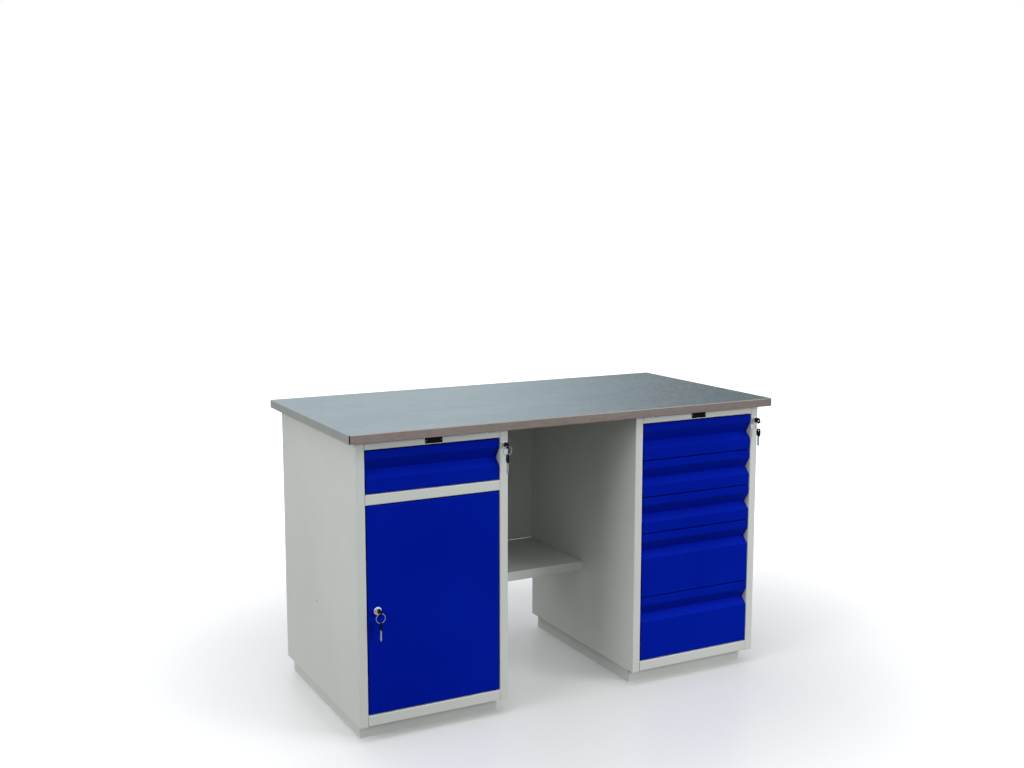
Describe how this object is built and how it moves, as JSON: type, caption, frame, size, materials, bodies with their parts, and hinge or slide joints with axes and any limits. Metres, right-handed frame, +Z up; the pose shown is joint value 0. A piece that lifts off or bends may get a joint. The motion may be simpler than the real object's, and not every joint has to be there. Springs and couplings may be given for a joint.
{
  "type": "workshop desk",
  "caption": "Two-pedestal steel desk with a galvanised top, a locking drawer stack, a drawer over a cupboard, and a shelf across its kneehole.",
  "frame": {"origin": "on the floor under the middle of the worktop", "axes": "+X to the right of a person facing the drawers, +Y towards the desk's back, +Z up; the drawers open towards -Y"},
  "size_m": [1.4, 0.7, 0.87],
  "materials": {
    "grey_paint": "satin light grey powder coat",
    "blue_paint": "satin blue powder coat",
    "galvanised": "galvanised sheet, satin",
    "board": "raw particle board",
    "zinc": "bright zinc plate",
    "lock_chrome": "nickel plated",
    "key_steel": "nickel plated wire and key blade",
    "black_plastic": "satin black moulded key head"
  },
  "bodies": {
    "desk": {"worktop_board": "board", "worktop_sheet": "galvanised", "knee_shelf": "grey_paint", "knee_back_panel": "grey_paint", "left_shell": "grey_paint", "left_top_pan": "grey_paint", "left_floor_pan": "grey_paint", "left_plinth": "grey_paint", "left_rack_left": "zinc", "left_rack_right": "zinc", "right_shell": "grey_paint", "right_top_pan": "grey_paint", "right_floor_pan": "grey_paint", "right_plinth": "grey_paint", "right_rack_left": "zinc", "right_rack_right": "zinc", "left_mid_rail": "grey_paint", "cupboard_shelf": "grey_paint", "left_lock_barrel": "lock_chrome", "right_lock_barrel": "lock_chrome"},
    "left_drawer": {"left_drawer_front": "blue_paint", "left_drawer_body": "grey_paint", "left_drawer_runner_left": "zinc", "left_drawer_runner_right": "zinc"},
    "right_drawer_1": {"right_drawer_1_front": "blue_paint", "right_drawer_1_body": "grey_paint", "right_drawer_1_runner_left": "zinc", "right_drawer_1_runner_right": "zinc"},
    "right_drawer_2": {"right_drawer_2_front": "blue_paint", "right_drawer_2_body": "grey_paint", "right_drawer_2_runner_left": "zinc", "right_drawer_2_runner_right": "zinc"},
    "right_drawer_3": {"right_drawer_3_front": "blue_paint", "right_drawer_3_body": "grey_paint", "right_drawer_3_runner_left": "zinc", "right_drawer_3_runner_right": "zinc"},
    "right_drawer_4": {"right_drawer_4_front": "blue_paint", "right_drawer_4_body": "grey_paint", "right_drawer_4_runner_left": "zinc", "right_drawer_4_runner_right": "zinc"},
    "right_drawer_5": {"right_drawer_5_front": "blue_paint", "right_drawer_5_body": "grey_paint", "right_drawer_5_runner_left": "zinc", "right_drawer_5_runner_right": "zinc"},
    "door": {"door_panel": "blue_paint", "door_lock_barrel": "lock_chrome"},
    "left_lock_turning": {"left_lock_plug": "lock_chrome", "left_lock_key": "black_plastic"},
    "left_lock_ring": {"left_lock_ring": "key_steel"},
    "left_lock_spare": {"left_lock_spare_key": "black_plastic"},
    "right_lock_turning": {"right_lock_plug": "lock_chrome", "right_lock_key": "black_plastic"},
    "right_lock_ring": {"right_lock_ring": "key_steel"},
    "right_lock_spare": {"right_lock_spare_key": "black_plastic"},
    "door_lock_turning": {"door_lock_plug": "lock_chrome", "door_lock_key": "black_plastic"},
    "door_lock_ring": {"door_lock_ring": "key_steel"},
    "door_lock_spare": {"door_lock_spare_key": "black_plastic"},
    "left_lock_bar": {"left_lock_bar": "zinc"},
    "right_lock_bar": {"right_lock_bar": "zinc"}
  },
  "joints": [
    {"name": "left_drawer_slide", "type": "slide", "parent": "desk", "child": "left_drawer", "axis": [0, -1, 0], "range_m": [0, 0.43]},
    {"name": "right_drawer_1_slide", "type": "slide", "parent": "desk", "child": "right_drawer_1", "axis": [0, -1, 0], "range_m": [0, 0.43]},
    {"name": "right_drawer_2_slide", "type": "slide", "parent": "desk", "child": "right_drawer_2", "axis": [0, -1, 0], "range_m": [0, 0.43]},
    {"name": "right_drawer_3_slide", "type": "slide", "parent": "desk", "child": "right_drawer_3", "axis": [0, -1, 0], "range_m": [0, 0.43]},
    {"name": "right_drawer_4_slide", "type": "slide", "parent": "desk", "child": "right_drawer_4", "axis": [0, -1, 0], "range_m": [0, 0.43]},
    {"name": "right_drawer_5_slide", "type": "slide", "parent": "desk", "child": "right_drawer_5", "axis": [0, -1, 0], "range_m": [0, 0.43]},
    {"name": "door_hinge", "type": "hinge", "parent": "desk", "child": "door", "pos_m": [-0.254, -0.31, 0.374], "axis": [0, 0, 1], "range_deg": [0, 110]},
    {"name": "left_lock_turn", "type": "hinge", "parent": "desk", "child": "left_lock_turning", "pos_m": [-0.228, -0.317, 0.799], "axis": [0, -1, 0], "range_deg": [0, 90]},
    {"name": "left_lock_ring_swing", "type": "hinge", "parent": "left_lock_turning", "child": "left_lock_ring", "pos_m": [-0.228, -0.339, 0.7972], "axis": [1, 0, 0], "range_deg": [-60, 5]},
    {"name": "left_lock_spare_swing", "type": "hinge", "parent": "left_lock_ring", "child": "left_lock_spare", "pos_m": [-0.228, -0.339, 0.7708], "axis": [1, 0, 0], "range_deg": [-40, 6]},
    {"name": "right_lock_turn", "type": "hinge", "parent": "desk", "child": "right_lock_turning", "pos_m": [0.659, -0.317, 0.799], "axis": [0, -1, 0], "range_deg": [0, 90]},
    {"name": "right_lock_ring_swing", "type": "hinge", "parent": "right_lock_turning", "child": "right_lock_ring", "pos_m": [0.659, -0.339, 0.7972], "axis": [1, 0, 0], "range_deg": [-60, 5]},
    {"name": "right_lock_spare_swing", "type": "hinge", "parent": "right_lock_ring", "child": "right_lock_spare", "pos_m": [0.659, -0.339, 0.7708], "axis": [1, 0, 0], "range_deg": [-40, 6]},
    {"name": "door_lock_turn", "type": "hinge", "parent": "door", "child": "door_lock_turning", "pos_m": [-0.615, -0.317, 0.374], "axis": [0, 1, 0], "range_deg": [0, 90]},
    {"name": "door_lock_ring_swing", "type": "hinge", "parent": "door_lock_turning", "child": "door_lock_ring", "pos_m": [-0.615, -0.339, 0.3722], "axis": [1, 0, 0], "range_deg": [-60, 5]},
    {"name": "door_lock_spare_swing", "type": "hinge", "parent": "door_lock_ring", "child": "door_lock_spare", "pos_m": [-0.615, -0.339, 0.3458], "axis": [1, 0, 0], "range_deg": [-40, 6]},
    {"name": "left_lock_bar_shift", "type": "slide", "parent": "desk", "child": "left_lock_bar", "axis": [-1, 0, 0], "range_m": [0, 0.0065]},
    {"name": "right_lock_bar_shift", "type": "slide", "parent": "desk", "child": "right_lock_bar", "axis": [-1, 0, 0], "range_m": [0, 0.0065]}
  ],
  "couplings": [
    {"joint": "left_lock_turn", "follows": "left_lock_bar_shift", "rad_per_m": 241.66},
    {"joint": "right_lock_turn", "follows": "right_lock_bar_shift", "rad_per_m": 241.66}
  ]
}
